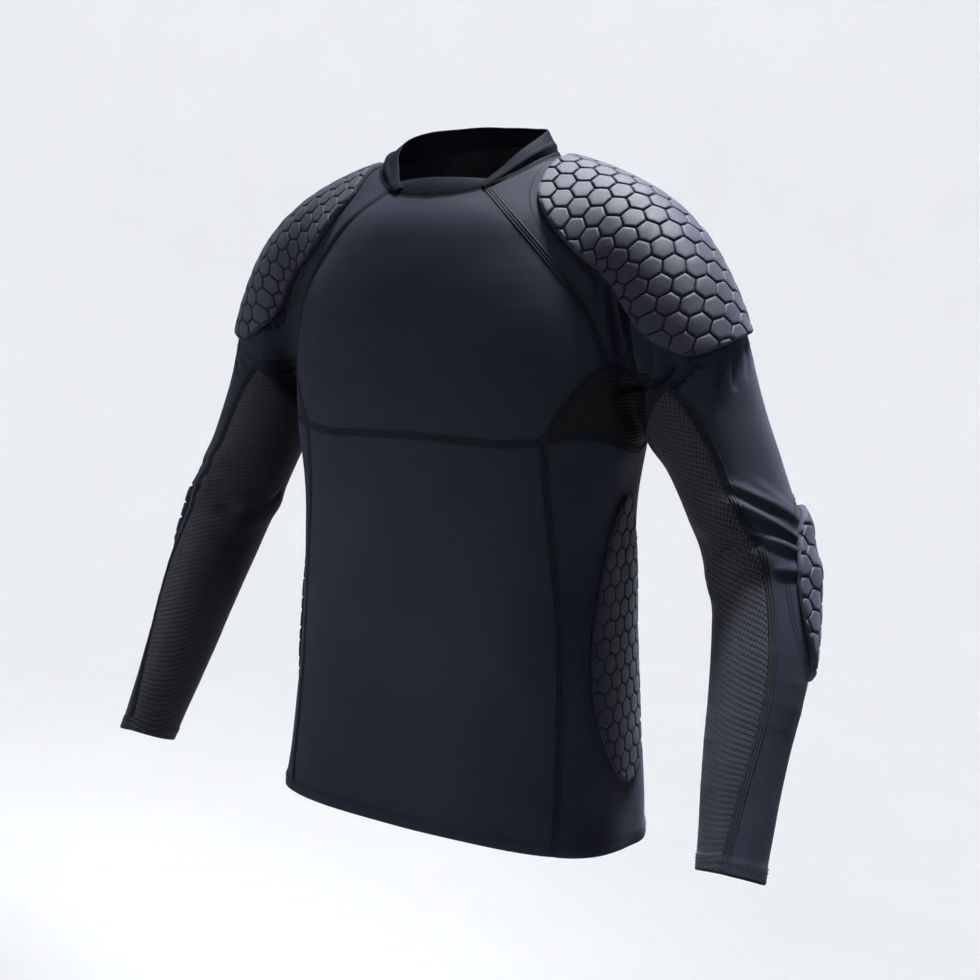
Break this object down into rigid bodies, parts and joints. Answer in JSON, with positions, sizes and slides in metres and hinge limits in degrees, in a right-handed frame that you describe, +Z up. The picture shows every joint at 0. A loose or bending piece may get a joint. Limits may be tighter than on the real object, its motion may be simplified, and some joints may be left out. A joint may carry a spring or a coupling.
{
  "type": "padded compression shirt",
  "caption": "Long-sleeved raglan compression shirt in its worn shape, mesh under the arms, honeycomb foam pads on shoulders, elbows and ribs.",
  "frame": {"origin": "middle of the neck, level with the highest point of the shoulder seams, where the wearer's shoulders carry the shirt", "axes": "+Z up along the wearer's back, the front faces -Y, and the wearer's left is +X"},
  "size_m": [0.7404, 0.277, 0.7018],
  "materials": {
    "stretch_knit": "smooth stretch knit with a soft sheen, dark navy",
    "air_mesh": "open mesh knit, matt, near black",
    "pad_cover": "smooth knit bonded over raised foam, dark slate",
    "rib_pad_cover": "smooth knit bonded over thin foam, dark navy",
    "collar_knit": "smooth stretch knit, doubled, dark navy"
  },
  "bodies": {
    "root": {"chest": "stretch_knit", "belly": "stretch_knit", "back": "air_mesh", "side_left": "stretch_knit", "side_right": "stretch_knit", "gusset_left": "air_mesh", "gusset_right": "air_mesh", "sleeve_outer_left": "stretch_knit", "sleeve_outer_right": "stretch_knit", "sleeve_inner_left": "air_mesh", "sleeve_inner_right": "air_mesh", "collar_front": "collar_knit", "collar_band": "collar_knit", "shoulder_pad_left": "pad_cover", "shoulder_pad_right": "pad_cover", "elbow_pad_left": "pad_cover", "elbow_pad_right": "pad_cover", "rib_pad_left": "rib_pad_cover", "rib_pad_right": "rib_pad_cover"}
  },
  "joints": []
}
